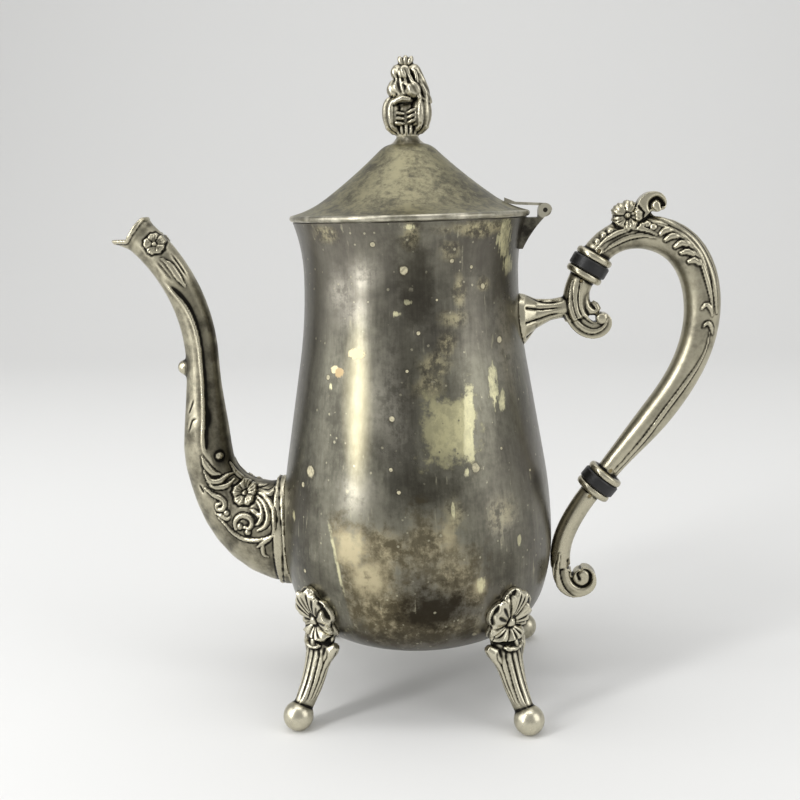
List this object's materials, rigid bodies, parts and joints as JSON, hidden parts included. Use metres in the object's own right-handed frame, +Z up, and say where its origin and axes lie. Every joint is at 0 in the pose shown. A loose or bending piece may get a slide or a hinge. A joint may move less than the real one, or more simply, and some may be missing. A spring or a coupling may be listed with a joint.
{
  "type": "coffee pot",
  "caption": "Tall footed coffee pot of tarnished silver plate with hinged conical lid, cast S-shaped spout, scrolled insulated handle and flower-kneed feet.",
  "frame": {"origin": "on the body's axis at table level", "axes": "+Z up, +X towards the handle, -X towards the spout"},
  "size_m": [0.2419, 0.1106, 0.2567],
  "materials": {
    "sheet_plate": "tarnished silver plate, rubbed pale in patches",
    "lid_plate": "mottled yellowish silver plate",
    "cast_plate": "worn bright silver plate with black tarnish in the recesses",
    "bright_trim": "worn bright silver plate",
    "insulator_black": "satin black composition",
    "brass_fitting": "dull brass"
  },
  "bodies": {
    "pot": {"body_shell": "sheet_plate", "base_plate": "sheet_plate", "spout": "cast_plate", "handle_grip": "cast_plate", "upper_socket": "cast_plate", "lower_socket": "cast_plate", "hinge_bracket": "cast_plate", "hinge_pin": "brass_fitting", "upper_insulator": "insulator_black", "lower_insulator": "insulator_black", "upper_insulator_pins": "brass_fitting", "lower_insulator_pins": "brass_fitting", "foot_front_left": "cast_plate", "foot_front_right": "cast_plate", "foot_rear_left": "cast_plate", "foot_rear_right": "cast_plate"},
    "lid": {"lid_shell": "lid_plate", "lid_rim_bead": "bright_trim", "lid_bezel": "sheet_plate", "finial": "cast_plate", "finial_collar": "bright_trim", "finial_nut": "brass_fitting", "hinge_lid_leaf": "bright_trim"}
  },
  "joints": [
    {"name": "lid_hinge", "type": "hinge", "parent": "pot", "child": "lid", "pos_m": [0.0528, 0, 0.197], "axis": [0, 1, 0], "range_deg": [0, 105]}
  ]
}
